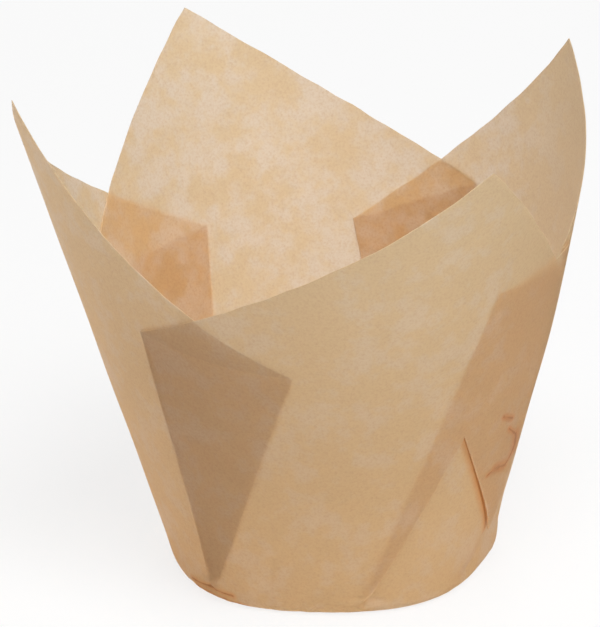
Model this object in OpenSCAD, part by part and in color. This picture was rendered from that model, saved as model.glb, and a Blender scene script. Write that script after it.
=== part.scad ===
// Baking cup: one square sheet of thin brown paper pressed into a round cup.
// The four corners of the sheet stand up as pointed petals. Between them the spare
// paper is folded flat against the wall in pleats of three layers.
// Millimetres, +Z up. The cup stands on z = 0, its axis is the Z axis, its front faces -Y.
// Azimuths are degrees from +X, counterclockwise seen from above. Slants are lengths up
// the wall from the corner that wall and bottom would make without their rounding.

/* [Sheet] */
// side of the square sheet
sheet_side = 154; // [151:1:157]
// thickness of the sheet as modelled
sheet_t = 0.2; // [0.16:0.02:0.24]
// air between two layers of a pleat
layer_gap = 0.2; // [0.16:0.02:0.3]

/* [Cup] */
// width of the bottom
base_d = 50; // [49:0.5:51]
// radius of the rounding between bottom and wall
edge_r = 2; // [1.5:0.25:3]
// lean of the wall from upright
wall_lean = 15.5; // [14.9:0.2:16.1]
// how far the rim swings out on one side and in on the other
rim_shift = 6.4; // [4:0.1:8]
// side to which the rim swings out
rim_shift_az = 238; // [230:1:246]
// oval of the rim, out at this azimuth and opposite, in between them
rim_oval = 3.1; // [0:0.1:4]
// azimuth of the oval's long axis
rim_oval_az = 113; // [105:1:121]
// three shallow lobes of the rim
rim_three = 1.8; // [0:0.1:2.4]
// azimuth of one of the three lobes
rim_three_az = 40; // [34:1:46]
// four shallow lobes of the rim
rim_four = 1.3; // [0:0.1:2]
// azimuth of one of the four lobes
rim_four_az = 14; // [8:1:20]

/* [Petals] */
// azimuth at which the right petal's middle line leaves the bottom
right_az = 11.6; // [9:0.2:14]
// skew of the right petal in the wall
right_skew = 6.9; // [5:0.1:9]
// azimuth at which the back petal's middle line leaves the bottom
back_az = 92.7; // [90:0.2:95]
// skew of the back petal in the wall
back_skew = 15.1; // [13:0.1:17]
// azimuth at which the left petal's middle line leaves the bottom
left_az = 193; // [190:0.2:195]
// skew of the left petal in the wall
left_skew = 1.8; // [0:0.1:4]
// azimuth at which the front petal's middle line leaves the bottom
front_az = 284.5; // [282:0.2:287]
// skew of the front petal in the wall
front_skew = 6.6; // [4:0.1:8]

/* [Back right pleat] */
// azimuth where the pleat starts
back_right_az = 60; // [56:0.5:64]
// from the right petal's corner to its fold, along the sheet's side
right_to_back = 57.5; // [55:0.5:60]
// from the back petal's corner to its fold, along the sheet's side
back_to_right = 59; // [56:0.5:62]

/* [Back left pleat] */
// azimuth where the pleat starts
back_left_az = 133; // [129:0.5:137]
// from the back petal's corner to its fold, along the sheet's side
back_to_left = 53; // [50:0.5:56]
// from the left petal's corner to its fold, along the sheet's side
left_to_back = 66; // [63:0.5:69]

/* [Front left pleat] */
// azimuth where the pleat starts
front_left_az = 225; // [221:0.5:229]
// from the left petal's corner to its fold, along the sheet's side
left_to_front = 60.5; // [58:0.5:63]
// from the front petal's corner to its fold, along the sheet's side
front_to_left = 63.5; // [61:0.5:66]

/* [Front right pleat] */
// azimuth where the pleat starts
front_right_az = 279.5; // [276:0.5:283]
// from the front petal's corner to the line on which the pleat was pressed
front_to_line = 33; // [31:0.5:35]
// from the front petal's corner to its fold, along the sheet's side
front_to_fold = 44; // [42:0.5:46]
// azimuth of the notch in the front petal's fold
notch_az = 307; // [304:0.5:310]
// slant of the notch in the front petal's fold
notch_slant = 31.5; // [29:0.5:34]
// azimuth of the flap's lowest point
flap_az = 336; // [334:0.5:338]
// slant of the flap's lowest point
flap_slant = 8; // [7:0.5:11]
// how far the flap's lowest point stands off the wall
flap_lift = 0.6; // [0:0.1:1]
// azimuth of the inner fold's top
inner_top_az = 306; // [303:0.5:309]
// slant of the inner fold's top
inner_top_slant = 59; // [57:0.5:61]

/* [Small pleat behind the flap] */
// azimuth where the pleat starts
small_az = 334; // [331:0.5:337]
// from the right petal's corner to its fold, along the sheet's side
right_to_small = 43; // [41:0.5:45]
// width of the pleat at the cut edge
small_top_w = 4; // [3:0.5:6]

/* [Mesh] */
// columns across a petal
petal_cols = 17; // [15:1:19]
// rows from the rounding to the cut edge
wall_rows = 16; // [15:1:17]

/* [Hidden] */

paper_colour = [0.77, 0.64, 0.49];
base_r = base_d / 2;
trim = edge_r * tan((90 - wall_lean) / 2);
cone_l = base_r / sin(wall_lean);
middle_az = 137;
rim_slant = 90;
fold_r = (sheet_t + layer_gap) / 2;
start_w = 0.4;
start_turn = 8;
edge_rows = 4;
fine_rows = 5;
fine_len = 4;
fold_cols = 3;
middle_cols = 5;
flap_cols = 5;
panel_cols = 5;
notch_row = round(0.54 * wall_rows);
flap_row = round(0.78 * wall_rows);

function ramp(x) = let (c = min(1, max(0, x))) c * c * (3 - 2 * c);
function mix(a, b, f) = a + (b - a) * f;

// The wall laid out flat: it is part of a cone, so it lies in a plane without stretching.
function flat_angle(az) = (az - middle_az) * sin(wall_lean);
function up_at(az) = [sin(flat_angle(az)), cos(flat_angle(az))];
function along_at(az) = [cos(flat_angle(az)), -sin(flat_angle(az))];
function flat_pt(az, slant) = (cone_l + slant) * up_at(az);
function az_of(p) = middle_az + atan2(p.x, p.y) / sin(wall_lean);
function slant_of(p) = norm(p) - cone_l;

// The sheet's corner and the points of its cut sides, on the laid out wall.
function toward(az, angle) = cos(angle) * up_at(az) + sin(angle) * along_at(az);
function corner(az, skew) = flat_pt(az, 0) + (sheet_side / sqrt(2) - base_r) * toward(az, skew);
function side_after(az, skew, d) = corner(az, skew) + d * toward(az, 135 + skew);
function side_before(az, skew, d) = corner(az, skew) + d * toward(az, skew - 135);

// Rows are close together where the pleats open and even from there to the cut edge.
function first_run(a, b, j, n) =
    let (
        whole = norm(b - a),
        d = j <= fine_rows
            ? fine_len * j / fine_rows
            : mix(fine_len, whole, (j - fine_rows) / (n - fine_rows))
    )
    a + (b - a) * d / whole;
function part_of(ends, j, i = 0) = i == len(ends) - 1 || j <= ends[i] ? i : part_of(ends, j, i + 1);
function line_at(pts, ends, j) =
    let (i = part_of(ends, j))
    i == 0
        ? first_run(pts[0], pts[1], j, ends[0])
        : mix(pts[i], pts[i + 1], (j - ends[i - 1]) / (ends[i] - ends[i - 1]));

// A pleat: [azimuth of its start, which side lies outside, points and rows of the first
// petal's fold, points and rows of the second petal's fold, points and rows of the flap's edge].
function start_pt(az, side) = flat_pt(az, trim) + side * start_w / 2 * along_at(az);
function plain_pleat(az, sign, top_1, top_2) = [
    az,
    sign,
    [start_pt(az, 1), top_1],
    [wall_rows],
    [start_pt(az, -1), top_2],
    [wall_rows],
];
function fold_1(p, j) = line_at(p[2], p[3], j);
function fold_2(p, j) = line_at(p[4], p[5], j);
function crease(p, j) = p[6] == undef ? fold_1(p, j) : line_at(p[6], p[7], j);

// The way the crease runs from row j to the next, and the direction square to it, away from
// the paper. In a corner of the crease that direction halves the corner.
function crease_way(p, j) = let (d = crease(p, j + 1) - crease(p, j)) d / norm(d);
function off_crease(p, j) =
    let (t = crease_way(p, min(wall_rows, j + 1) - 1) + crease_way(p, max(1, j) - 1))
    [t.y, -t.x] / norm(t);

back_right = plain_pleat(
    back_right_az,
    1,
    side_after(right_az, right_skew, right_to_back),
    side_before(back_az, back_skew, back_to_right)
);
back_left = plain_pleat(
    back_left_az,
    1,
    side_after(back_az, back_skew, back_to_left),
    side_before(left_az, left_skew, left_to_back)
);
front_left = plain_pleat(
    front_left_az,
    1,
    side_after(left_az, left_skew, left_to_front),
    side_before(front_az, front_skew, front_to_left)
);
notch_pt = flat_pt(notch_az, notch_slant);
front_right = [
    front_right_az,
    -1,
    [start_pt(front_right_az, 1), notch_pt, side_after(front_az, front_skew, front_to_line)],
    [notch_row, wall_rows],
    [start_pt(front_right_az, -1), flat_pt(inner_top_az, inner_top_slant)],
    [wall_rows],
    [
        start_pt(front_right_az, 1),
        notch_pt,
        flat_pt(flap_az, flap_slant),
        side_after(front_az, front_skew, front_to_fold),
    ],
    [notch_row, flap_row, wall_rows],
];

// The small pleat ends the ring, so it is counted once around from the right petal.
function small_top(turns) = side_before(right_az + 360 * turns, right_skew, right_to_small);
small_far = small_top(1) + small_top_w * along_at(az_of(small_top(1)));
small = plain_pleat(small_az, -1, small_far, small_top(1));
small_before = plain_pleat(small_az - 360, -1, small_top(0), small_top(0));

// How far the folds of a pleat are turned, and the heights of its layers.
function turn_at(j) = mix(start_turn, 180, ramp(j / (fine_rows - 1)));
function spread_at(j) = ramp((j + 1) / (fine_rows + 1));
function layer_at(j) = 2 * fold_r * ramp(j / fine_rows);
function lift_at(j) =
    flap_lift
    * ramp((j - notch_row) / (flap_row - notch_row))
    * (1 - ramp((j - flap_row) / (wall_rows - flap_row)));

// One row through a pleat, seen along the fold: [sideways, outward, turn] of each column.
function zigzag(sign, turn, w, ext, flap) =
    let (
        r = fold_r * 180 / turn,
        phi = sign * turn,
        d = [cos(phi), sin(phi)],
        out = [-sin(phi), cos(phi)],
        m1 = [ext / 2, 0] - d * (w + ext) / 2,
        m2 = [ext / 2, 0] + d * (w + ext) / 2,
        c1 = m1 + sign * r * out,
        c2 = m2 - sign * r * out
    )
    concat(
        [for (i = [flap_cols:-1:1]) if (flap) [c1.x - ext * i / flap_cols, c1.y - sign * r, 0]],
        [
            for (i = [0:fold_cols])
                let (a = phi * i / fold_cols, q = c1 + sign * r * [sin(a), -cos(a)]) [q.x, q.y, a]
        ],
        [for (i = [1:flap_cols]) if (flap) let (q = m1 + d * ext * i / flap_cols) [q.x, q.y, phi]],
        [
            for (i = [1:middle_cols - 1])
                let (q = m2 - d * w * (1 - i / middle_cols)) [q.x, q.y, phi]
        ],
        [
            for (i = [fold_cols:-1:0])
                let (a = phi * i / fold_cols, q = c2 - sign * r * [sin(a), -cos(a)]) [q.x, q.y, a]
        ]
    );

// The columns of a pleat in row j: [azimuth, slant, outward, turn, direction of the turn].
function pleat_row(p, j, depth) =
    let (
        flap = p[6] != undef,
        a = fold_1(p, j),
        b = fold_2(p, j),
        spread = j < fine_rows ? spread_at(j) : 1,
        w = max(start_w, norm(a - b) * spread),
        e = (a - b) / norm(a - b),
        centre = (a + b) / 2,
        reach = crease(p, j) - a,
        ext = flap ? max(norm(reach), 0.3) : 0,
        e_off = flap && j >= fine_rows ? off_crease(p, j) : e,
        e_flap = norm(reach) > 0.3 ? reach / norm(reach) : e_off,
        edge = centre + e * w / 2,
        tip = edge + e_flap * ext
    )
    [
        for (q = zigzag(p[1], turn_at(j), w, ext, flap))
            let (
                past = q.x > w / 2,
                off = max(0, q.x - w / 2 - ext),
                dir = off > 0 ? e_off : past ? e_flap : e,
                pt = off > 0
                    ? tip + e_off * off
                    : past ? edge + e_flap * (q.x - w / 2) : centre + e * q.x,
                lifted = flap && past ? lift_at(j) * min(1, (q.x - w / 2) / ext) : 0
            )
            [az_of(pt), slant_of(pt), q.y - depth + lifted, q.z, dir]
    ];

// The columns of a petal in row j, between the pleats before and after it.
function petal_row(from, to, top, n, layers, j) =
    [
        for (i = [1:n - 1])
            let (
                f = i / n,
                foot = flat_pt(mix(from, to, f), trim),
                head = top(f),
                pt = first_run(foot, head, j, wall_rows)
            )
            [az_of(pt), slant_of(pt), mix(layers[0], layers[1], ramp((f - 0.3) / 0.4)) * layer_at(j), 0, [1, 0]]
    ];
function petal_top(a, tip, b, f) =
    let (k = ceil(petal_cols / 2) / petal_cols)
    f <= k ? mix(a, tip, f / k) : mix(tip, b, (f - k) / (1 - k));
function last(v) = v[len(v) - 1];
function petal(before, after, az, skew, layers, j) =
    let (a = last(before[4]), tip = corner(az, skew), b = last(after[2]))
    petal_row(before[0], after[0], function (f) petal_top(a, tip, b, f), petal_cols, layers, j);

function ring(j) =
    concat(
        petal(small_before, back_right, right_az, right_skew, [-3, -1], j),
        pleat_row(back_right, j, 0),
        petal(back_right, back_left, back_az, back_skew, [1, -1], j),
        pleat_row(back_left, j, 0),
        petal(back_left, front_left, left_az, left_skew, [1, -1], j),
        pleat_row(front_left, j, 0),
        petal(front_left, front_right, front_az, front_skew, [1, 1], j),
        pleat_row(front_right, j, 0),
        petal_row(
            front_right_az,
            small_az,
            function (f) mix(last(front_right[4]), last(small[2]), f),
            panel_cols,
            [-1, -1],
            j
        ),
        pleat_row(small, j, 2 * layer_at(j))
    );

// From the laid out wall to the cup: the bottom's rounding, the lean and the uneven rim.
function rim_swing(az) =
    rim_shift * cos(az - rim_shift_az)
    + rim_oval * cos(2 * (az - rim_oval_az))
    + rim_three * cos(3 * (az - rim_three_az))
    + rim_four * cos(4 * (az - rim_four_az));
function steepness(slant) = (90 - wall_lean) * min(1, max(0, (slant + trim) / (2 * trim)));
function wall_rz(slant) =
    let (b = steepness(slant))
    slant >= trim
        ? [base_r + slant * sin(wall_lean), slant * cos(wall_lean)]
        : [base_r - trim + edge_r * sin(b), edge_r * (1 - cos(b))];
function cup_pt(c, side) =
    let (
        az = c[0],
        b = steepness(c[1]),
        rz = wall_rz(c[1]),
        r = rz.x + rim_swing(az) * pow(max(0, c[1] - trim) / rim_slant, 2),
        dir = [c[4] * along_at(az), c[4] * up_at(az)],
        round_v = [-sin(az), cos(az), 0],
        up_v = [cos(b) * cos(az), cos(b) * sin(az), sin(b)],
        out_v = [sin(b) * cos(az), sin(b) * sin(az), -cos(b)],
        turned = -sin(c[3]) * (dir.x * round_v + dir.y * up_v) + cos(c[3]) * out_v
    )
    [r * cos(az), r * sin(az), rz.y + sheet_t / 2] + c[2] * out_v + side * sheet_t / 2 * turned;

// The rows of the rounding come before the rows of the wall, and flatten out to the bottom.
function edge_row(first, f) = [for (c = first) [c[0], trim * (2 * f - 1), c[2] * f, c[3] * f, c[4]]];
function row(j, first) = j >= 0 ? ring(j) : edge_row(first, 1 + j / edge_rows);

module liner() {
    first = ring(0);
    rows = [for (j = [-edge_rows:wall_rows]) row(j, first)];
    n = len(first);
    m = len(rows);
    points = concat(
        [for (r = rows) for (c = r) cup_pt(c, 1)],
        [for (r = rows) for (c = r) cup_pt(c, -1)],
        [[0, 0, 0], [0, 0, sheet_t]]
    );
    inside = n * m;
    outer = [
        for (k = [0:m - 2])
            for (i = [0:n - 1])
                let (a = k * n + i, b = k * n + (i + 1) % n)
                each [[a, a + n, b + n], [a, b + n, b]]
    ];
    inner = [for (f = outer) [f[2] + inside, f[1] + inside, f[0] + inside]];
    rim = [
        for (i = [0:n - 1])
            let (a = (m - 1) * n + i, b = (m - 1) * n + (i + 1) % n)
            each [[a, a + inside, b + inside], [a, b + inside, b]]
    ];
    bottom = [for (i = [0:n - 1]) [i, (i + 1) % n, 2 * inside]];
    floor_in = [for (i = [0:n - 1]) [inside + (i + 1) % n, inside + i, 2 * inside + 1]];
    color(paper_colour)
        polyhedron(points, concat(outer, inner, rim, bottom, floor_in), convexity = 10);
}

liner();
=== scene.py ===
"""Tulip baking cup: one square sheet of thin brown paper, folded and pressed round.

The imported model's plain solid is replaced by the same sheet folded finer and thinner, in paper
that lets light through. Lengths are metres. Azimuths are degrees from +X, counterclockwise seen
from above. Slants are metres up the wall from the corner that wall and bottom would make without
their rounding. Inside this file a point of the laid-out wall is a complex number.
"""

import math
from collections import namedtuple

import bpy
import numpy as np
from mathutils import Matrix, Vector


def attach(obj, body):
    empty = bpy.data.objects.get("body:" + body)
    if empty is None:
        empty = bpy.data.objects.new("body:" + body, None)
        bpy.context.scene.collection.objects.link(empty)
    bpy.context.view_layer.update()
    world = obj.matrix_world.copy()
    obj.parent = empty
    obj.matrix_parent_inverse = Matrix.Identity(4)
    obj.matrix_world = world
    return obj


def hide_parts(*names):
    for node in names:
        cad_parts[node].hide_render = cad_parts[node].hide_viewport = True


bl_info = {
    "name": "Tulip baking cup",
    "version": (1, 0, 0),
    "blender": (4, 5, 0),
    "location": "3D View > Sidebar > Baking cup",
    "description": "Folds a square sheet of baking paper into a tulip cup and sets its stage",
    "category": "Object",
}

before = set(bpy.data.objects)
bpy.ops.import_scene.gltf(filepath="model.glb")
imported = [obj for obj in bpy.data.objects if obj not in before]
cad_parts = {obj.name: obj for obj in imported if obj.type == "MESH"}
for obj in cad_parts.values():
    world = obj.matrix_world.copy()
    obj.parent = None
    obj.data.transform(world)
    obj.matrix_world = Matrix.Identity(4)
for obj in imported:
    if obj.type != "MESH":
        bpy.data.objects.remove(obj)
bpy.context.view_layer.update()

# Where the sheet is folded

# Petal: azimuth at which its middle line leaves the bottom, its skew in the wall, and how far
# its cut sides bow out before and after the corner.
Petal = namedtuple("Petal", "az skew bows")
RIGHT_PETAL = Petal(11.6, 6.9, (0.0, 0.0006))
BACK_PETAL = Petal(92.7, 15.1, (0.0, 0.0005))
LEFT_PETAL = Petal(193.0, 1.8, (0.0, 0.0))
FRONT_PETAL = Petal(284.5, 6.6, (0.0, 0.0))

# Pleat: azimuth of its start, then for the top of each fold its distance from the petal's corner
# along the cut side, and how far it lies out from that side.
BACK_RIGHT = (60.0, (0.0575, 0.0), (0.059, 0.0))
BACK_LEFT = (133.0, (0.053, 0.0), (0.066, 0.0))
FRONT_LEFT = (227.0, (0.0609, 0.0008), (0.0622, 0.0004))
# The front right pleat: azimuth of its start, then distances from the front petal's corner to
# the top of its fold and to the top of the flap's crease. The other places are azimuth and slant.
FRONT_RIGHT = (279.5, 0.033, 0.044)
NOTCH = (306.6, 0.0324)
FLAP_TIP = (334.4, 0.0092)
INNER_TOP = (306.0, 0.059)
# The small pleat behind the flap: azimuth of its start, its top's distance from the right petal's
# corner and its width there, then azimuth, slant and width of its knee.
SMALL = (317.0, 0.043, 0.004)
SMALL_KNEE = (337.0, 0.0085, 0.0014)

# The wall is laid out flat from this azimuth both ways. The rim is about so far up the slant.
MIDDLE_AZ = 137.0
RIM_SLANT = 0.09

# How the pressed wall departs from a cone: lobes, reach and azimuth of a crest. The belly is
# widest at half height, the foot at the bottom's edge.
BELLY = (
    (0, 0.00075, 0),
    (1, 0.0002, 333),
    (2, 0.0005, 41),
    (3, 0.00013, 18),
)
FOOT = (
    (0, 0.0009, 0),
    (1, 0.00033, 56),
    (3, 0.00029, 14),
    (4, 0.00024, 31),
    (5, 0.00045, 16),
)
FOOT_HEIGHT = 0.012
# The foot is pushed in beside the flap: azimuth and slant of the place, reach in each, depth.
DENT = (344.0, 0.0065, 13.0, 0.0055, 0.0008)

# Columns and rows of the mesh, and the rows in which notch, flap tip and knee lie.
PETAL_COLS = 72
PANEL_COLS = 16
FOLD_COLS = 6
MIDDLE_COLS = 20
NARROW_COLS = 5
FLAP_COLS = 22
EDGE_ROWS = 9
OPEN_ROWS = 12
WALL_ROWS = 80
NOTCH_ROW = 41
FLAP_ROW = 61
KNEE_ROW = 18
BOTTOM_RINGS = 4
# A mark on the mesh's points: 1 on the single layer behind the flap, where the flap's painted
# shadow is drawn.
UNDER_FLAP = "under_flap"
SHARP_ANGLE = math.radians(50)

# How a pleat opens toward the bottom: the length that it opens over, and its width and turn
# where it starts. A flap shorter than the last length has no direction of its own.
OPEN_LENGTH = 0.004
START_WIDTH = 0.0004
START_TURN = math.radians(8)
SHORTEST_FLAP = 0.0003
TINY = 1e-9
# At the foot a petal's columns keep this many degrees from the pleat's start. So far from an open
# pleat the sheet comes level with its fold.
FOOT_GAP = 2.4
LEVEL_OUT = 0.001
# Share of a petal's width at which its layer begins to change from the one pleat's to the
# other's, and the share that this takes.
LAYER_START, LAYER_LENGTH = 0.3, 0.4
# How fast a petal's columns become straight away from a bent fold, and how the flap's lift grows
# toward its crease.
BEND_POWER = 3
LIFT_POWER = 1.5

# Slow waves of the paper: how many, lobes round the cup, and the most turn over a metre of slant.
# They begin at the first slant and are whole after the second length.
COCKLE_SEED = 7
COCKLE_COUNT = 14
COCKLE_LOBES = (2, 9)
COCKLE_RISE = 260
COCKLE_START, COCKLE_GROWTH = 0.004, 0.03
# Small gathers at the bottom's edge: lobes round the cup, and their slant and reach. They come in
# patches: slow waves, given by lobes and phase, and an offset for how much of the edge has them.
GATHER_SEED = 11
GATHER_LOBES = (23, 31, 38, 47, 59, 72)
GATHER_SLANT, GATHER_REACH = 0.0006, 0.0016
GATHER_PATCHES = ((3, 1.1), (7, 0.3))
GATHER_OFFSET = 0.6
# About how high many waves of height 1 rise where they meet.
WAVE_CREST = 3
# The unevenly cut edge: its wave lengths, and the rows that it fades out over.
CUT_SEED = 5
CUT_WAVES = (0.0061, 0.0073, 0.0094, 0.0127, 0.0181)
CUT_ROWS = 6


def ramp(x):
    """0 to 1 with a soft start and end."""
    c = np.clip(x, 0, 1)
    return c * c * (3 - 2 * c)


def mix(a, b, f):
    return a + (b - a) * f


def unit(z):
    return z / abs(z)


def lobes(az, terms):
    """A wavy ring: for each term a number of lobes, their reach and the azimuth of a crest."""
    return sum(reach * np.cos(np.radians(count * (az - crest))) for count, reach, crest in terms)


class Line:
    """A fold line of the laid-out wall through several points, each reached in its own row."""

    def __init__(self, points, rows):
        self.points, self.rows = points, rows

    def at(self, j):
        i = next((k for k, row in enumerate(self.rows) if j <= row), len(self.rows) - 1)
        a, b = self.points[i], self.points[i + 1]
        if i == 0:
            return along_run(a, b, j, self.rows[0])
        return mix(a, b, (j - self.rows[i - 1]) / (self.rows[i] - self.rows[i - 1]))

    def bend(self, j):
        """How far the line in row j is from a straight one."""
        return self.at(j) - along_run(self.points[0], self.points[-1], j, WALL_ROWS)


def along_run(a, b, j, rows):
    """The point in row j from a to b. Rows are close where the pleats open."""
    whole = np.abs(b - a)
    near = OPEN_LENGTH * j / OPEN_ROWS
    far = mix(OPEN_LENGTH, whole, (j - OPEN_ROWS) / (rows - OPEN_ROWS))
    return a + (b - a) / whole * np.where(j <= OPEN_ROWS, near, far)


class Pleat:
    """Three layers between the first petal's fold and the second petal's fold."""

    def __init__(self, az, sign, first, second, crease=None, depth=0, middle_cols=MIDDLE_COLS):
        self.az, self.sign, self.first, self.second = az, sign, first, second
        self.crease, self.depth, self.middle_cols = crease, depth, middle_cols

    def off_crease(self, j):
        """The direction square to the crease and away from the paper."""
        below = unit(self.crease.at(j) - self.crease.at(j - 1))
        k = min(j, WALL_ROWS - 1)
        above = unit(self.crease.at(k + 1) - self.crease.at(k))
        return 1j * unit(below + above)


class FoldedSheet:
    """The square sheet on the laid-out wall, and the way back from there to the cup."""

    def __init__(self, sizes):
        self.sizes = sizes
        self.lean = sizes.wall_lean
        self.foot_r = sizes.base_width / 2
        self.apex = self.foot_r / math.sin(self.lean)
        self.trim = sizes.edge_radius * math.tan((math.pi / 2 - self.lean) / 2)
        self.fold_r = (sizes.paper_thickness + sizes.layer_air) / 2
        self.lay_out()

    # The laid-out wall: the real part runs up the wall, the imaginary part to the right.
    def up(self, az):
        return np.exp(1j * np.radians(np.subtract(az, MIDDLE_AZ)) * math.sin(self.lean))

    def point(self, az, slant):
        return (self.apex + slant) * self.up(az)

    def az_slant(self, p):
        return MIDDLE_AZ + np.degrees(np.angle(p)) / math.sin(self.lean), np.abs(p) - self.apex

    def toward(self, petal, angle):
        """A direction at an angle from the petal's middle line."""
        return self.up(petal.az) * np.exp(1j * math.radians(petal.skew + angle))

    def corner(self, petal):
        reach = self.sizes.sheet_side / math.sqrt(2) - self.foot_r
        return self.point(petal.az, 0) + reach * self.toward(petal, 0)

    def cut_side(self, petal, way, distance, out=0.0):
        """A point of the petal's cut side, after (1) or before (-1) its corner."""
        along, outward = self.toward(petal, 135 * way), self.toward(petal, 45 * way)
        return self.corner(petal) + distance * along + out * outward

    def cut_edge(self, petal, a, b, f):
        """The petal's edge: from a over its corner to b, each side bowed out most in its middle."""
        tip = self.corner(petal)
        u, v = np.clip(2 * f, 0, 1), np.clip(2 * f - 1, 0, 1)
        bow = [4 * reach * self.toward(petal, angle) for reach, angle in zip(petal.bows, (-45, 45))]
        before = mix(a, tip, u) + bow[0] * u * (1 - u)
        after = mix(tip, b, v) + bow[1] * v * (1 - v)
        return np.where(f <= 0.5, before, after)

    def start(self, az, side):
        return self.point(az, self.trim) + side * START_WIDTH / 2 * 1j * self.up(az)

    def straight(self, az, side, top):
        return Line([self.start(az, side), top], [WALL_ROWS])

    def lay_out(self):
        def plain(where, before, after):
            az, to_first, to_second = where
            return Pleat(
                az,
                1,
                self.straight(az, 1, self.cut_side(before, 1, *to_first)),
                self.straight(az, -1, self.cut_side(after, -1, *to_second)),
            )

        self.back_right = plain(BACK_RIGHT, RIGHT_PETAL, BACK_PETAL)
        self.back_left = plain(BACK_LEFT, BACK_PETAL, LEFT_PETAL)
        self.front_left = plain(FRONT_LEFT, LEFT_PETAL, FRONT_PETAL)

        az, to_line, to_fold = FRONT_RIGHT
        foot, notch = self.start(az, 1), self.point(*NOTCH)
        line_top = self.cut_side(FRONT_PETAL, 1, to_line)
        flap_top = self.cut_side(FRONT_PETAL, 1, to_fold)
        self.front_right = Pleat(
            az,
            -1,
            Line([foot, notch, line_top], [NOTCH_ROW, WALL_ROWS]),
            self.straight(az, -1, self.point(*INNER_TOP)),
            Line([foot, notch, self.point(*FLAP_TIP), flap_top], [NOTCH_ROW, FLAP_ROW, WALL_ROWS]),
        )

        # The small pleat ends the ring, so it is counted once around from the right petal.
        def small(turns):
            az, to_fold, top_width = SMALL
            knee_az, knee_slant, knee_width = SMALL_KNEE
            az, knee_az = az + 360 * turns, knee_az + 360 * turns
            petal = RIGHT_PETAL._replace(az=RIGHT_PETAL.az + 360 * (turns + 1))
            knee, top = self.point(knee_az, knee_slant), self.cut_side(petal, -1, to_fold)
            aside = [1j * self.up(self.az_slant(p)[0]) for p in (knee, top)]
            far = Line(
                [self.start(az, 1), knee + knee_width * aside[0], top + top_width * aside[1]],
                [KNEE_ROW, WALL_ROWS],
            )
            near = Line([self.start(az, -1), knee, top], [KNEE_ROW, WALL_ROWS])
            return Pleat(az, -1, far, near, depth=2, middle_cols=NARROW_COLS)

        self.small, self.small_before = small(0), small(-1)

    def layer(self, j):
        return 2 * self.fold_r * ramp(j / OPEN_ROWS)

    def petal_row(self, before, after, petal, layers, j, cols=PETAL_COLS):
        """Columns of a petal, or of the panel if petal is None: [point, outward, turn, direction].

        Beside a pleat that isn't closed yet the sheet stays level with the pleat's fold.
        """
        f = np.arange(1, cols) / cols
        a, b = before.second.points[-1], after.first.points[-1]
        head = self.cut_edge(petal, a, b, f) if petal else mix(a, b, f)
        foot = self.point(mix(before.az + FOOT_GAP, after.az - FOOT_GAP, f), self.trim)
        p = along_run(foot, head, j, WALL_ROWS)
        p = p + before.second.bend(j) * (1 - f) ** BEND_POWER + after.first.bend(j) * f**BEND_POWER
        passing = ramp((f - LAYER_START) / LAYER_LENGTH)
        out = mix(layers[0], layers[1], passing) * self.layer(j)
        if j < OPEN_ROWS:
            for pleat, end, layer in ((before, -1, layers[0]), (after, 0, layers[1])):
                points, outward, _, _ = self.pleat_row(pleat, j)
                width = abs(points[0] - points[-1])
                near = 1 - ramp((np.abs(p - points[end]) - width) / (width + LEVEL_OUT))
                out = out + (outward[end] - layer * self.layer(j)) * near
        return p, out, np.zeros_like(f), np.ones_like(p)

    def pleat_row(self, pleat, j):
        """Columns of a pleat in row j: straight, half-round fold, back, half-round fold."""
        a, b = pleat.first.at(j), pleat.second.at(j)
        spread = ramp((j + 1) / (OPEN_ROWS + 1)) if j < OPEN_ROWS else 1.0
        width = max(START_WIDTH, abs(a - b) * spread)
        e, centre = unit(a - b), (a + b) / 2
        turn = mix(START_TURN, math.pi, ramp(j / (OPEN_ROWS - 1)))
        ext, e_flap, e_off = 0.0, e, e
        if pleat.crease:
            reach = pleat.crease.at(j) - a
            ext = max(abs(reach), SHORTEST_FLAP)
            if j >= OPEN_ROWS:
                e_off = pleat.off_crease(j)
            e_flap = unit(reach) if abs(reach) > SHORTEST_FLAP else e_off

        # Seen along the fold: real is sideways, imaginary is outward.
        phi = pleat.sign * turn
        r = self.fold_r * math.pi / turn
        d = np.exp(1j * phi)
        m1, m2 = ext / 2 - d * (width + ext) / 2, ext / 2 + d * (width + ext) / 2
        c1, c2 = m1 + pleat.sign * r * 1j * d, m2 - pleat.sign * r * 1j * d
        bent = phi * np.arange(FOLD_COLS + 1) / FOLD_COLS
        arc = -1j * pleat.sign * r * np.exp(1j * bent)
        q, turned = [c1 + arc], [bent]
        if pleat.crease:
            i = np.arange(1, FLAP_COLS + 1) / FLAP_COLS
            q = [c1 - ext * i[::-1] - 1j * pleat.sign * r, *q, m1 + d * ext * i]
            turned = [0 * i, *turned, phi + 0 * i]
        i = np.arange(1, pleat.middle_cols) / pleat.middle_cols
        q = np.concatenate([*q, m2 - d * width * (1 - i), c2 - arc[::-1]])
        turned = np.concatenate([*turned, phi + 0 * i, bent[::-1]])

        past, off = q.real - width / 2, q.real - width / 2 - ext
        p = np.where(
            off > TINY,
            centre + e * width / 2 + e_flap * ext + e_off * off,
            np.where(past > 0, centre + e * width / 2 + e_flap * past, centre + e * q.real),
        )
        way = np.where(off > TINY, e_off, np.where(past > 0, e_flap, e))
        out = q.imag - pleat.depth * self.layer(j)
        if pleat.crease:
            out = out + self.flap_lift(j) * np.clip(past / ext, 0, 1) ** LIFT_POWER
        return p, out, turned, way / self.up(self.az_slant(p)[0])

    def flap_lift(self, j):
        rise = ramp((j - NOTCH_ROW) / (FLAP_ROW - NOTCH_ROW))
        return self.sizes.flap_lift * rise * (1 - ramp((j - FLAP_ROW) / (WALL_ROWS - FLAP_ROW)))

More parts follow.
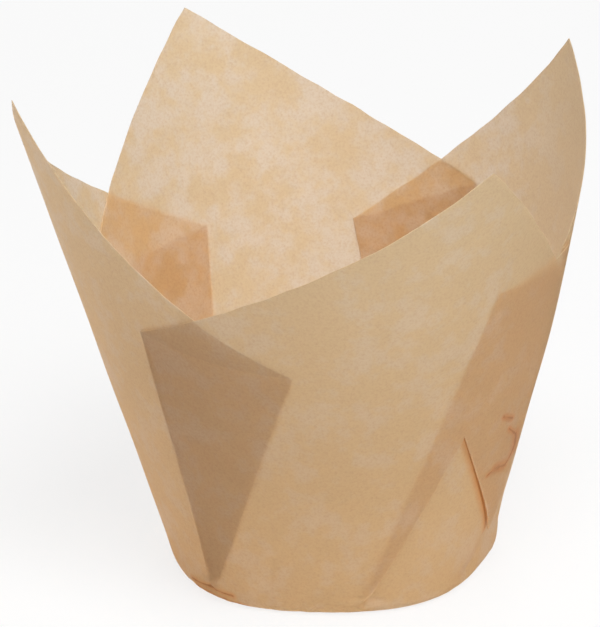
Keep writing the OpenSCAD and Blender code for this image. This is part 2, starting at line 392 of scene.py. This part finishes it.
    def panel_columns(self):
        """1 for the columns behind the flap, which end the ring, and 0 for the others."""
        parts = self.ring_parts(0)
        behind = [0.0] * (len(parts) - 2) + [1.0, 1.0]
        return np.repeat(behind, [len(part[0]) for part in parts])

    def ring(self, j):
        return [np.concatenate(column) for column in zip(*self.ring_parts(j))]

    def ring_parts(self, j):
        return [
            self.petal_row(self.small_before, self.back_right, RIGHT_PETAL, (-3, -1), j),
            self.pleat_row(self.back_right, j),
            self.petal_row(self.back_right, self.back_left, BACK_PETAL, (1, -1), j),
            self.pleat_row(self.back_left, j),
            self.petal_row(self.back_left, self.front_left, LEFT_PETAL, (1, -1), j),
            self.pleat_row(self.front_left, j),
            self.petal_row(self.front_left, self.front_right, FRONT_PETAL, (1, 1), j),
            self.pleat_row(self.front_right, j),
            self.petal_row(self.front_right, self.small, None, (-1, -1), j, PANEL_COLS),
            self.pleat_row(self.small, j),
        ]

    def departure(self, az, slant):
        """How far the wall stands out from its cone."""
        s, up = self.sizes, np.maximum(0, slant - self.trim) / RIM_SLANT
        rim = (
            (1, s.rim_shift, math.degrees(s.rim_shift_az)),
            (2, s.rim_oval, math.degrees(s.rim_oval_az)),
            (3, s.rim_three, math.degrees(s.rim_three_az)),
            (4, s.rim_four, math.degrees(s.rim_four_az)),
        )
        belly = s.unevenness * 4 * up * np.maximum(0, 1 - up)
        foot = s.unevenness * np.exp(-((np.maximum(0, slant) / FOOT_HEIGHT) ** 2))
        at_az, at_slant, az_reach, slant_reach, depth = DENT
        beside = (np.mod(az - at_az + 180, 360) - 180) / az_reach
        dent = s.unevenness * depth * np.exp(-(beside**2) - ((slant - at_slant) / slant_reach) ** 2)
        return lobes(az, rim) * up**2 + lobes(az, BELLY) * belly + lobes(az, FOOT) * foot - dent

    def cockle(self, az, slant):
        """Slow waves of the paper, the same for all layers at a place."""
        waves = np.random.default_rng(COCKLE_SEED)
        total = np.zeros_like(az)
        for _ in range(COCKLE_COUNT):
            around, up = waves.integers(*COCKLE_LOBES), waves.uniform(-1, 1) * COCKLE_RISE
            phase = np.radians(az) * around + slant * up + waves.uniform(0, 2 * math.pi)
            total += np.sin(phase) / around**0.5
        growth = ramp((slant - COCKLE_START) / COCKLE_GROWTH)
        return self.sizes.cockle * total / WAVE_CREST * growth

    def gathers(self, az, slant):
        """Small pressed gathers along the edge of the bottom."""
        waves = np.random.default_rng(GATHER_SEED)
        total = np.zeros_like(az)
        for around in GATHER_LOBES:
            total += np.sin(np.radians(az) * around + waves.uniform(0, 2 * math.pi))
        here = np.exp(-(((slant - GATHER_SLANT) / GATHER_REACH) ** 2))
        patches = sum(np.sin(np.radians(az) * count + phase) for count, phase in GATHER_PATCHES)
        patch = ramp(patches + GATHER_OFFSET)
        return self.sizes.edge_gathers * total / WAVE_CREST * here * patch

    def to_cup(self, az, slant, out, turned, way, side):
        """Places of the cup for the face on one side of the sheet."""
        s = self.sizes
        steep = (math.pi / 2 - self.lean) * np.clip((slant + self.trim) / (2 * self.trim), 0, 1)
        on_wall = slant >= self.trim
        wall_r = self.foot_r + slant * math.sin(self.lean)
        edge_r = self.foot_r - self.trim + s.edge_radius * np.sin(steep)
        r = np.where(on_wall, wall_r, edge_r) + self.departure(az, slant)
        z = np.where(on_wall, slant * math.cos(self.lean), s.edge_radius * (1 - np.cos(steep)))
        around = np.stack([-np.sin(np.radians(az)), np.cos(np.radians(az)), 0 * az], -1)
        spoke = np.stack([around[..., 1], -around[..., 0], 0 * az], -1)
        rise = np.array([0.0, 0.0, 1.0])
        upward = np.cos(steep)[..., None] * spoke + np.sin(steep)[..., None] * rise
        outward = np.sin(steep)[..., None] * spoke - np.cos(steep)[..., None] * rise
        facing = np.cos(turned)[..., None] * outward - np.sin(turned)[..., None] * (
            way.imag[..., None] * around + way.real[..., None] * upward
        )
        out = out + self.cockle(az, slant) + self.gathers(az, slant)
        half = s.paper_thickness / 2
        place = r[..., None] * spoke + (z + half)[..., None] * rise
        return place + out[..., None] * outward + side * half * facing

    def rows(self):
        """Azimuth, slant, outward, turn and direction of all columns, bottom row first."""
        rings = [self.ring(j) for j in range(WALL_ROWS + 1)]
        first = rings[0]
        first_az, _ = self.az_slant(first[0])
        made = []
        for k in range(EDGE_ROWS):
            f = k / EDGE_ROWS
            slant = np.full_like(first_az, self.trim * (2 * f - 1))
            made.append((first_az, slant, first[1] * f, first[2] * f, first[3]))
        ragged = self.ragged(rings[-1][0])
        for j, (p, out, turned, way) in enumerate(rings):
            az, slant = self.az_slant(p)
            slant = slant + ragged * ramp((j - WALL_ROWS) / CUT_ROWS + 1)
            made.append((az, slant, out, turned, way))
        return [np.stack(values) for values in zip(*made)]

    def ragged(self, edge):
        """How uneven the sheet is cut, along its edge."""
        waves = np.random.default_rng(CUT_SEED)
        along = np.cumsum(np.abs(np.diff(edge, prepend=edge[:1])))
        total = sum(np.sin(2 * math.pi * along / wave + waves.uniform(0, 6)) for wave in CUT_WAVES)
        return self.sizes.ragged_edge * total / math.sqrt(len(CUT_WAVES))


# The mesh


def cup_mesh(sheet):
    """One closed skin: outer face, inner face, the cut edge between them and the flat bottom."""
    az, slant, out, turned, way = sheet.rows()
    rows, cols = az.shape
    faces = [sheet.to_cup(az, slant, out, turned, way, side) for side in (1, -1)]
    middle = [np.array([0.0, 0.0, face[0, :, 2].mean()]) for face in faces]
    panel = np.broadcast_to(sheet.panel_columns(), (BOTTOM_RINGS - 1 + rows, cols)).ravel()
    points, quads, tris, marks = [], [], [], []
    for face, centre, flip in zip(faces, middle, (False, True)):
        rings = [mix(centre, face[0], k / BOTTOM_RINGS) for k in range(1, BOTTOM_RINGS)]
        face = np.concatenate([np.array(rings), face])
        base = sum(len(p) for p in points)
        points += [face.reshape(-1, 3), centre[None]]
        marks += [panel, [0.0]]
        index = base + np.arange(len(face) * cols).reshape(len(face), cols)
        right = np.roll(index, -1, 1)
        quad = np.stack([index[:-1], right[:-1], right[1:], index[1:]], -1).reshape(-1, 4)
        tri = np.stack([right[0], index[0], np.full(cols, base + index.size)], -1)
        quads.append(quad[:, ::-1] if flip else quad)
        tris.append(tri[:, ::-1] if flip else tri)
        if flip:
            quads.append(np.stack([outer_rim, np.roll(outer_rim, -1), right[-1], index[-1]], -1))
        else:
            outer_rim = index[-1]
    mesh = bpy.data.meshes.new("folded_sheet")
    skin = [corners for group in (*quads, *tris) for corners in group.tolist()]
    mesh.from_pydata(np.concatenate(points).tolist(), [], skin)
    mesh.update()
    under = mesh.attributes.new(UNDER_FLAP, "FLOAT", "POINT")
    under.data.foreach_set("value", np.concatenate(marks))
    mesh.shade_smooth()
    mesh.set_sharp_from_angle(angle=SHARP_ANGLE)
    return mesh


# Shader expressions


class Value:
    """A shader socket. Arithmetic on it adds Math nodes."""

    def __init__(self, shader, socket):
        self.shader, self.socket = shader, socket

    def __add__(self, other):
        return self.shader.maths("ADD", self, other)

    def __sub__(self, other):
        return self.shader.maths("SUBTRACT", self, other)

    def __rsub__(self, other):
        return self.shader.maths("SUBTRACT", other, self)

    def __mul__(self, other):
        return self.shader.maths("MULTIPLY", self, other)

    def __truediv__(self, other):
        return self.shader.maths("DIVIDE", self, other)

    def __rtruediv__(self, other):
        return self.shader.maths("DIVIDE", other, self)

    __radd__, __rmul__ = __add__, __mul__

    def fade(self, low, high):
        """0 at low and 1 at high, with a soft start and end."""
        settings = {"interpolation_type": "SMOOTHSTEP"}
        inputs = {"Value": self, "From Min": low, "From Max": high}
        return self.shader.node("ShaderNodeMapRange", settings, inputs)

    def clamped(self):
        return self.shader.maths("MINIMUM", self.shader.maths("MAXIMUM", self, 0.0), 1.0)


class Shader:
    """A material's or a world's nodes, made one by one from expressions."""

    def __init__(self, owner):
        owner.use_nodes = True
        self.tree = owner.node_tree
        self.tree.nodes.clear()

    def node(self, kind, settings=None, inputs=None, output=0):
        made = self.tree.nodes.new(kind)
        for name, value in (settings or {}).items():
            setattr(made, name, value)
        for name, value in (inputs or {}).items():
            if isinstance(value, Value):
                self.tree.links.new(value.socket, made.inputs[name])
            else:
                made.inputs[name].default_value = value
        return Value(self, made.outputs[output]) if made.outputs else made

    def maths(self, operation, *values):
        return self.node("ShaderNodeMath", {"operation": operation}, dict(enumerate(values)))

    def blend(self, a, b, share):
        """Two colours, sockets or plain, through a Mix node."""
        return self.node("ShaderNodeMix", {"data_type": "RGBA"}, {0: share, 6: a, 7: b}, 2)

    def shared(self, a, b, share):
        """Two shaders, the second with this share of the whole."""
        return self.node("ShaderNodeMixShader", None, {0: share, 1: a, 2: b})

    def split(self, vector):
        """The x, y and z of a vector socket."""
        made = self.node("ShaderNodeSeparateXYZ", None, {0: vector}).socket.node
        return [Value(self, socket) for socket in made.outputs]

    def noise(self, where, scale, detail, roughness):
        inputs = {"Vector": where, "Scale": scale, "Detail": detail, "Roughness": roughness}
        return self.node("ShaderNodeTexNoise", None, inputs)


def rgba(colour):
    return (*colour, 1.0)


# The paper

# Pressed-in creases, painted as shade in and beside them, each through places given as azimuth and
# slant, with their half width.
FLAP_CREASES = (
    (((326.5, 0.0294), (332.3, 0.0272)), 0.00028),
    (((332.3, 0.0272), (334.0, 0.0250), (333.6, 0.0240)), 0.0006),
    (((333.6, 0.0240), (332.0, 0.0226), (330.6, 0.0219)), 0.00028),
    (((330.6, 0.0219), (324.0, 0.0225)), 0.00048),
    (((324.0, 0.0225), (321.0, 0.0218)), 0.00024),
    (((321.6, 0.0327), (326.9, 0.0313)), 0.0003),
)
EDGE_CREASES = (
    (((214.0, 0.0020), (226.5, 0.0024), (235.0, 0.0020)), 0.0003),
    (((216.0, 0.0012), (232.0, 0.0009), (240.0, 0.0003)), 0.00024),
)
# Painted shade: the small pleat shows as a soft darker band below the flap.
SOFT_BAND_SHADE = (((333.5, 0.0083), (325.0, 0.0050), (316.0, 0.0015)), 0.0009)
# Painted shadow: the brown line along the flap's crease, on the layer behind it, with its orange
# halo.
FLAP_SHADE = ((NOTCH, FLAP_TIP), 0.0018)

# Painted shade where layers lie on each other in each part of the front pleats: three layers, two
# layers and beside the flap. Then how soft the edges of these parts are.
THREE_LAYER_SHADE, TWO_LAYER_SHADE, FLAP_LAYER_SHADE = 0.45, 1.0, 0.1
EDGE_BLUR = 0.00006

# Noise of the paper: scale, detail and roughness.
WIDE_CLOUDS = (150.0, 1.0, 0.5)
CLOUDS = (420.0, 2.0, 0.6)
SPECKS = (1100.0, 1.0, 0.6)
FIBRES = (2600.0, 1.0, 0.6)
CLOUD_FADE = (0.38, 0.62)
SPECK_GRAIN, FIBRE_GRAIN = 0.6, 2.4

# Painted light and shade: the paper is browner toward the front and the right and paler at the
# back,
# for how the light falls there: metres over which that fades in, and share.
SHADE_TOWARD_FRONT = (0.005, -0.02, 0.45)
SHADE_TOWARD_RIGHT = (0.025, 0.042, 0.9)
WARM_OFFSET = -0.02

# Azimuths that the painted shade is laid out from: front pleat, flap, creases at the lower left.
FRONT_AZ, FLAP_AZ, LEFT_AZ = 250, 320, 225

# A crease's painted shade wavers with the clouds. Its painted halo is this many times as wide as
# the crease, and the painted brown shadow line under the flap has a core this many times narrower
# than the line.
CREASE_WAVER = 2.0
HALO_WIDTH = 3.5
LINE_CORE = 5.0
BAND_WIDTH = 1.3
CORE_FADE = (1.0, 0.2)

# Share of the fibres' colour: everywhere, as painted shade where layers lie on each other, and as
# the soft band's painted shade. Then how strongly the creases' painted shade is laid on.
FIBRES_ALL, FIBRES_LAYER_SHADE, FIBRES_BAND = 0.3, 0.24, 0.4
CREASE_PAINT = 0.75

# Surface: share of the fibres in the relief, how strong and how high it is, and the roughness
# with what the grain adds.
RELIEF_FIBRES, RELIEF_STRENGTH, RELIEF_HEIGHT = 0.4, 0.25, 0.0002
ROUGHNESS, GRAIN_ROUGHNESS = 0.5, 0.1

# Light that comes through: shares of the darker tint, painted shade where layers lie on each other,
# and of the creased tint, painted shade beside creases. Then how much less the grain and the
# creases let through, so that the creases' painted shade shows.
LIGHT_LAYER_SHADE, LIGHT_CREASED = 0.22, 0.35
GRAIN_DENSER, CREASE_DENSER = 0.12, 0.35


class WallPlace:
    """The shaded point on the wall rolled out flat: sideways and up from the cone's tip."""

    def __init__(self, s, place, sheet, middle_az):
        self.s, self.sheet, self.middle_az = s, sheet, middle_az
        x, y, z = s.split(place)
        ahead, aside = math.cos(math.radians(middle_az)), math.sin(math.radians(middle_az))
        away = s.maths("ARCTAN2", y * ahead - x * aside, x * ahead + y * aside)
        turned = away * math.sin(sheet.lean)
        reach = z / math.cos(sheet.lean) + sheet.apex
        parts = {0: reach * s.maths("SINE", turned), 1: reach * s.maths("COSINE", turned)}
        self.here = s.node("ShaderNodeCombineXYZ", None, parts)

    def flat(self, p):
        turned = p / self.sheet.up(self.middle_az)
        return Vector((turned.imag, turned.real, 0.0))

    def vector(self, operation, *values, output=0):
        inputs = {i: tuple(v) if isinstance(v, Vector) else v for i, v in enumerate(values)}
        return self.s.node("ShaderNodeVectorMath", {"operation": operation}, inputs, output)

    def left_of(self, a, b):
        """Distance to the left of the line from a to b."""
        a, b = self.flat(a), self.flat(b)
        left = Vector((a.y - b.y, b.x - a.x, 0.0)).normalized()
        return self.vector("DOT_PRODUCT", self.here, left, output=1) - left.dot(a)

    def distance(self, a, b):
        """Distance from the stretch between two points."""
        a, b = self.flat(a), self.flat(b)
        run, far = b - a, self.vector("SUBTRACT", self.here, a)
        share = self.vector("DOT_PRODUCT", far, run / run.length_squared, output=1).clamped()
        scaled = {0: tuple(run), "Scale": share}
        spot = self.s.node("ShaderNodeVectorMath", {"operation": "SCALE"}, scaled)
        return self.vector("DISTANCE", far, spot, output=1)

    def off_lines(self, lines):
        """Distance from the nearest of several lines, in half widths of it."""
        found = []
        for places, half in lines:
            points = [self.sheet.point(*place) for place in places]
            found += [self.distance(a, b) / half for a, b in zip(points, points[1:])]
        return least(found)


def least(values):
    found = values[0]
    for value in values[1:]:
        found = found.shader.maths("MINIMUM", found, value)
    return found


def overlaps(front, right):
    """Painted shade where the layers of the front pleats lie on each other: how dark each part is.
    """
    sheet = front.sheet
    foot, hidden = sheet.front_left.first.points
    fold = sheet.front_left.second.points[-1]
    below_top = front.left_of(hidden, fold)
    three = least([front.left_of(foot, hidden), below_top, front.left_of(fold, foot)])
    two = least([
        0.0 - below_top,
        front.left_of(hidden, sheet.corner(LEFT_PETAL)),
        front.left_of(sheet.corner(FRONT_PETAL), fold),
    ])
    foot, notch, tip, _ = sheet.front_right.crease.points
    inner = sheet.front_right.second.points[-1]
    beside = right.left_of(foot, notch)
    flap = least([
        right.left_of(inner, foot),
        right.left_of(sheet.small.second.points[-1], inner),
        front.s.maths("MAXIMUM", beside, right.left_of(notch, tip)),
    ])
    shades = [area.fade(-EDGE_BLUR, EDGE_BLUR) for area in (three, two, flap)]
    return shades[0] * THREE_LAYER_SHADE + shades[1] * TWO_LAYER_SHADE + shades[2] * FLAP_LAYER_SHADE


Pulp = namedtuple("Pulp", "warm clouds grain relief")
# Painted shade: where layers lie on each other, the soft band, beside creases and in them.
Marks = namedtuple("Marks", "layers band halo core")


def paper_pulp(s, place):
    """Clouds of the sheet's pulp, its specks and its fibres, with painted shade toward the front
    and the right.
    """
    wide, clouds, specks, fibres = (
        s.noise(place, *noise) for noise in (WIDE_CLOUDS, CLOUDS, SPECKS, FIBRES)
    )
    warm = (wide * 0.5 + clouds * 0.5).fade(*CLOUD_FADE)
    across, back, _ = s.split(place)
    # Painted light and shade: browner toward the front and the right, paler at the back.
    for along, (start, whole, share) in ((back, SHADE_TOWARD_FRONT), (across, SHADE_TOWARD_RIGHT)):
        warm = warm + along.fade(start, whole) * share
    grain = (specks - 0.5) * SPECK_GRAIN + (fibres - 0.5) * FIBRE_GRAIN
    return Pulp((warm + WARM_OFFSET).clamped(), clouds, grain, fibres * RELIEF_FIBRES + specks)


def painted_shade_marks(s, place, sheet, clouds):
    """Painted shade where layers lie on each other, in the soft band, in and beside creases, and
    the brown shadow line under the flap.
    """
    front, right, left = (WallPlace(s, place, sheet, az) for az in (FRONT_AZ, FLAP_AZ, LEFT_AZ))
    waver = (clouds - 0.5) * CREASE_WAVER
    crease = least([right.off_lines(FLAP_CREASES), left.off_lines(EDGE_CREASES)]) + waver
    # Painted shadow of the flap, drawn only on the layer behind it.
    line = right.off_lines([FLAP_SHADE])
    behind = s.node("ShaderNodeAttribute", {"attribute_name": UNDER_FLAP}, None, 2)
    halo = least([crease / HALO_WIDTH, (line - 1.0) * behind + 1.0])
    core = least([crease, (line * LINE_CORE - 1.0) * behind + 1.0])
    return Marks(
        overlaps(front, right),
        # Painted shade of the soft band below the flap.
        right.off_lines([SOFT_BAND_SHADE]).fade(BAND_WIDTH, 0.0),
        halo.fade(1.0, 0.0),
        core.fade(*CORE_FADE),
    )


def paper_face(s, colours, pulp, marks):
    """What the paper sends back."""
    # Painted shade: the fibres' colour also darkens stacked layers and the soft band.
    fibres = pulp.grain + FIBRES_ALL + marks.layers * FIBRES_LAYER_SHADE + marks.band * FIBRES_BAND
    tone = s.blend(rgba(colours.pale), rgba(colours.warm), pulp.warm)
    tone = s.blend(tone, rgba(colours.fibres), fibres.clamped())
    # Painted shade: an orange halo beside creases and the flap's shadow line, then their dark core.
    tone = s.blend(tone, rgba(colours.halo), marks.halo * CREASE_PAINT)
    tone = s.blend(tone, rgba(colours.creases), marks.core * CREASE_PAINT)
    relief = {"Height": pulp.relief, "Strength": RELIEF_STRENGTH, "Distance": RELIEF_HEIGHT}
    surface = {
        "Base Color": tone,
        "Roughness": ROUGHNESS + pulp.grain * GRAIN_ROUGHNESS,
        "Specular IOR Level": 0.5,
        "Normal": s.node("ShaderNodeBump", None, relief),
    }
    return s.node("ShaderNodeBsdfPrincipled", None, surface)


def light_through(s, colours, pulp, marks):
    """What the paper lets through."""

    def tinted(light):
        return s.node("ShaderNodeBsdfTranslucent", None, {"Color": rgba(light)})

    clear = s.shared(tinted(colours.light_clear), tinted(colours.light_warm), pulp.warm)
    # Painted shade: darker light comes through where layers lie on each other.
    pressed = (marks.layers * LIGHT_LAYER_SHADE).clamped()
    dense = s.shared(clear, tinted(colours.light_layer_shade), pressed)
    return s.shared(dense, tinted(colours.light_creased), marks.halo * LIGHT_CREASED)


def greaseproof_paper(colours, sheet):
    """Unbleached greaseproof paper: cloudy, with fine fibres, matt, and light comes through it,
    with painted shade at stacked layers, creases and under the flap.
    """
    paper = bpy.data.materials.new("unbleached_greaseproof_paper")
    s = Shader(paper)
    place = s.node("ShaderNodeTexCoord", None, None, 3)
    pulp = paper_pulp(s, place)
    marks = painted_shade_marks(s, place, sheet, pulp.clouds)
    face = paper_face(s, colours, pulp, marks)
    through = light_through(s, colours, pulp, marks)
    # The grain and the crease cores let less through; at the cores this lets their painted shade
    # show.
    share = colours.see_through - pulp.grain * GRAIN_DENSER - marks.core * CREASE_DENSER
    both = s.shared(face, through, share.clamped())
    s.node("ShaderNodeOutputMaterial", None, {"Surface": both})
    return paper


# Sizes and colours


def length(name, description, default):
    return bpy.props.FloatProperty(
        name=name,
        description=description,
        default=default,
        min=0.0,
        precision=5,
        subtype="DISTANCE",
        unit="LENGTH",
    )


def angle(name, description, degrees):
    return bpy.props.FloatProperty(
        name=name, description=description, default=math.radians(degrees), subtype="ANGLE"
    )


def colour(name, description, default):
    return bpy.props.FloatVectorProperty(
        name=name,
        description=description,
        default=default,
        size=3,
        min=0.0,
        max=1.0,
        subtype="COLOR",
    )


class BAKINGCUP_PG_sizes(bpy.types.PropertyGroup):
    """Sizes of the sheet and of the cup that it is pressed into."""

    sheet_side: length("Sheet", "Side of the square sheet before it is folded", 0.154)
    paper_thickness: length("Paper", "Thickness of the paper", 0.0001)
    layer_air: length("Air", "Air between two layers of a pleat", 0.0001)
    base_width: length("Bottom", "Width of the flat bottom", 0.05)
    edge_radius: length("Edge", "Rounding between bottom and wall", 0.002)
    wall_lean: angle("Lean", "Lean of the wall from upright", 15.5)
    rim_shift: length("Rim shift", "How far the rim swings out on one side", 0.0064)
    rim_shift_az: angle("Shift side", "Side to which the rim swings out", 238)
    rim_oval: length("Rim oval", "Oval of the rim", 0.0031)
    rim_oval_az: angle("Oval side", "Azimuth of the oval's long axis", 113)
    rim_three: length("Three lobes", "Three shallow lobes of the rim", 0.0018)
    rim_three_az: angle("Three lobes' side", "Azimuth of one of the three lobes", 40)
    rim_four: length("Four lobes", "Four shallow lobes of the rim", 0.0013)
    rim_four_az: angle("Four lobes' side", "Azimuth of one of the four lobes", 14)
    flap_lift: length("Flap", "How far the flap's tip stands off the wall", 0.0003)
    unevenness: bpy.props.FloatProperty(
        name="Unevenness",
        description="How unevenly the wall is pressed, 1 as photographed",
        default=1.0,
        min=0.0,
    )
    ragged_edge: length("Cut edge", "Unevenness of the cut edge", 0.00009)
    cockle: length("Cockle", "Height of the paper's slow waves", 0.00016)
    edge_gathers: length("Gathers", "Height of the small gathers round the bottom", 0.00005)


class BAKINGCUP_PG_colours(bpy.types.PropertyGroup):
    """Colours of the paper and of its painted shade, and how much of the light goes through it."""

    pale: colour("Pale clouds", "What the paper's paler clouds send back", (0.94, 0.885, 0.745))
    warm: colour("Warm clouds", "What the browner clouds send back", (0.89, 0.78, 0.48))
    fibres: colour("Fibres", "The paper's darker fibres and specks", (0.70, 0.53, 0.33))
    # Painted shade: the dark core of creases and of the flap's shadow line.
    creases: colour("Creases", "The depth of a pressed-in crease", (0.46, 0.18, 0.04))
    # Painted shade: the orange halo beside creases and along the flap's shadow line.
    halo: colour("Beside creases", "The paper close beside a crease", (0.84, 0.46, 0.16))
    light_clear: colour("Pale light", "Light through the paler clouds", (0.985, 0.885, 0.785))
    light_warm: colour("Warm light", "Light through the browner clouds", (0.975, 0.84, 0.69))
    # Light through the painted shade beside creases.
    light_creased: colour("Creased light", "Light through paper at a crease", (0.95, 0.62, 0.34))
    # Darker light, for the painted shade where layers lie on each other.
    light_layer_shade: colour("Pressed light", "Light through pressed layers", (0.61, 0.52, 0.475))
    see_through: bpy.props.FloatProperty(
        name="See-through",
        description="Share of the light that goes through",
        default=0.735,
        min=0.0,
        max=1.0,
        subtype="FACTOR",
    )


# Lamp: name, azimuth, height above the horizon in degrees, watts.
LAMPS = (
    ("front_lamp", -76, 62, 10.9),
    ("right_lamp", -40, 42, 2.9),
    ("back_lamp", 90, 12, 4.6),
    ("low_lamp", -60, 10, 1.7),
)
LAMP_SIZE = 0.7
LAMP_DISTANCE = 1.2
LAMP_AIM = Vector((0, 0, 0.04))
WORLD_LIGHT = 0.12

# The floor lies just below the paper. The camera sees this share of it as plain white.
FLOOR_SIZE = 4
FLOOR_DROP = 0.00005
FLOOR_PALE = (0.96, 0.96, 0.96, 1.0)
FLOOR_WHITE = 0.8
WHITE = (1.0, 1.0, 1.0, 1.0)

# Camera: lens and sensor in millimetres, shift of the picture, tilt down and roll in degrees, the
# height that it looks at and its distance from there.
LENS, SENSOR = 261.7, 36.0
SHIFT = (-0.04625, -0.0418)
TILT, ROLL = 20.084, -0.499
AIM_HEIGHT, CAMERA_DISTANCE = 0.045, 0.68795


# Operators


class BAKINGCUP_OT_fold_sheet(bpy.types.Operator):
    """Fold the sheet into the cup and finish it in greaseproof paper"""

    bl_idname = "baking_cup.fold_sheet"
    bl_label = "Fold the sheet"

    def execute(self, context):
        sizes, colours = context.scene.baking_cup_sizes, context.scene.baking_cup_colours
        sheet = FoldedSheet(sizes)
        cup = bpy.data.objects.new("folded_sheet", cup_mesh(sheet))
        context.scene.collection.objects.link(cup)
        cup.data.materials.append(greaseproof_paper(colours, sheet))
        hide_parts("liner")
        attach(cup, "root")
        return {"FINISHED"}


class BAKINGCUP_OT_set_stage(bpy.types.Operator):
    """Set the floor, the soft light and the camera"""

    bl_idname = "baking_cup.set_stage"
    bl_label = "Set the stage"

    def execute(self, context):
        scene = context.scene
        scene.view_settings.view_transform = "Standard"

        bpy.ops.mesh.primitive_plane_add(size=FLOOR_SIZE, location=(0, 0, -FLOOR_DROP))
        floor = context.active_object
        floor.name = "floor"
        floor.data.materials.append(white_floor())

        scene.world = bpy.data.worlds.new("soft_studio")
        soft_studio(scene.world)

        for name, az, height, watts in LAMPS:
            soft_lamp(scene, name, az, height, watts)
        scene.camera = photo_camera(scene)
        return {"FINISHED"}


def soft_lamp(scene, name, az, height, watts):
    """A round soft lamp that looks at the cup from an azimuth and a height above the horizon."""
    lamp = bpy.data.lights.new(name, "AREA")
    lamp.shape, lamp.size, lamp.energy = "DISK", LAMP_SIZE, watts
    made = bpy.data.objects.new(name, lamp)
    az, height = math.radians(az), math.radians(height)
    level = math.cos(height)
    way = Vector((math.cos(az) * level, math.sin(az) * level, math.sin(height)))
    made.location = LAMP_AIM + way * LAMP_DISTANCE
    made.rotation_mode = "QUATERNION"
    made.rotation_quaternion = way.to_track_quat("Z", "Y")
    scene.collection.objects.link(made)


def white_floor():
    """Pale floor. The camera sees it near white, with the object's soft shadow."""
    floor = bpy.data.materials.new("pale_floor")
    s = Shader(floor)
    seen = s.node("ShaderNodeLightPath", None, None, 0)
    surface = {"Base Color": FLOOR_PALE, "Roughness": 0.9, "Specular IOR Level": 0.1}
    matt = s.node("ShaderNodeBsdfPrincipled", None, surface)
    white = s.node("ShaderNodeEmission", None, {"Color": WHITE, "Strength": 1.0})
    both = s.shared(matt, white, seen * FLOOR_WHITE)
    s.node("ShaderNodeOutputMaterial", None, {"Surface": both})
    return floor


def soft_studio(world):
    """Even light from all sides. The camera sees plain white."""
    s = Shader(world)
    seen = s.node("ShaderNodeLightPath", None, None, 0)
    level = seen * (1 - WORLD_LIGHT) + WORLD_LIGHT
    light = s.node("ShaderNodeBackground", None, {"Color": WHITE, "Strength": level})
    s.node("ShaderNodeOutputWorld", None, {"Surface": light})


def photo_camera(scene):
    """The camera at the photograph's viewing angle."""
    lens = bpy.data.cameras.new("photo_camera")
    lens.sensor_fit, lens.sensor_width = "HORIZONTAL", SENSOR
    lens.lens = LENS
    lens.shift_x, lens.shift_y = SHIFT
    lens.clip_start, lens.clip_end = 0.01, 20.0
    camera = bpy.data.objects.new("photo_camera", lens)
    scene.collection.objects.link(camera)
    tilt, roll = math.radians(TILT), math.radians(ROLL)
    back = Vector((0, -math.cos(tilt), math.sin(tilt)))
    across = Vector((1, 0, 0))
    above = back.cross(across)
    right = across * math.cos(roll) + above * math.sin(roll)
    up = above * math.cos(roll) - across * math.sin(roll)
    camera.matrix_world = Matrix((right, up, back)).transposed().to_4x4()
    camera.location = Vector((0, 0, AIM_HEIGHT)) + back * CAMERA_DISTANCE
    return camera


# Panel and run


class BAKINGCUP_PT_sidebar(bpy.types.Panel):
    """Sizes, colours and buttons of the cup"""

    bl_idname = "BAKINGCUP_PT_sidebar"
    bl_label = "Baking cup"
    bl_space_type = "VIEW_3D"
    bl_region_type = "UI"
    bl_category = "Baking cup"

    def draw(self, context):
        for group in (context.scene.baking_cup_sizes, context.scene.baking_cup_colours):
            box = self.layout.box()
            for name in group.__annotations__:
                box.prop(group, name)
        for operator in OPERATORS:
            self.layout.operator(operator.bl_idname)


OPERATORS = (BAKINGCUP_OT_fold_sheet, BAKINGCUP_OT_set_stage)
CLASSES = (BAKINGCUP_PG_sizes, BAKINGCUP_PG_colours, *OPERATORS, BAKINGCUP_PT_sidebar)


def register():
    for made in CLASSES:
        bpy.utils.register_class(made)
    bpy.types.Scene.baking_cup_sizes = bpy.props.PointerProperty(type=BAKINGCUP_PG_sizes)
    bpy.types.Scene.baking_cup_colours = bpy.props.PointerProperty(type=BAKINGCUP_PG_colours)


def unregister():
    del bpy.types.Scene.baking_cup_sizes
    del bpy.types.Scene.baking_cup_colours
    for made in reversed(CLASSES):
        bpy.utils.unregister_class(made)


def main():
    register()
    bpy.ops.baking_cup.fold_sheet()
    bpy.ops.baking_cup.set_stage()


if __name__ == "__main__":
    main()
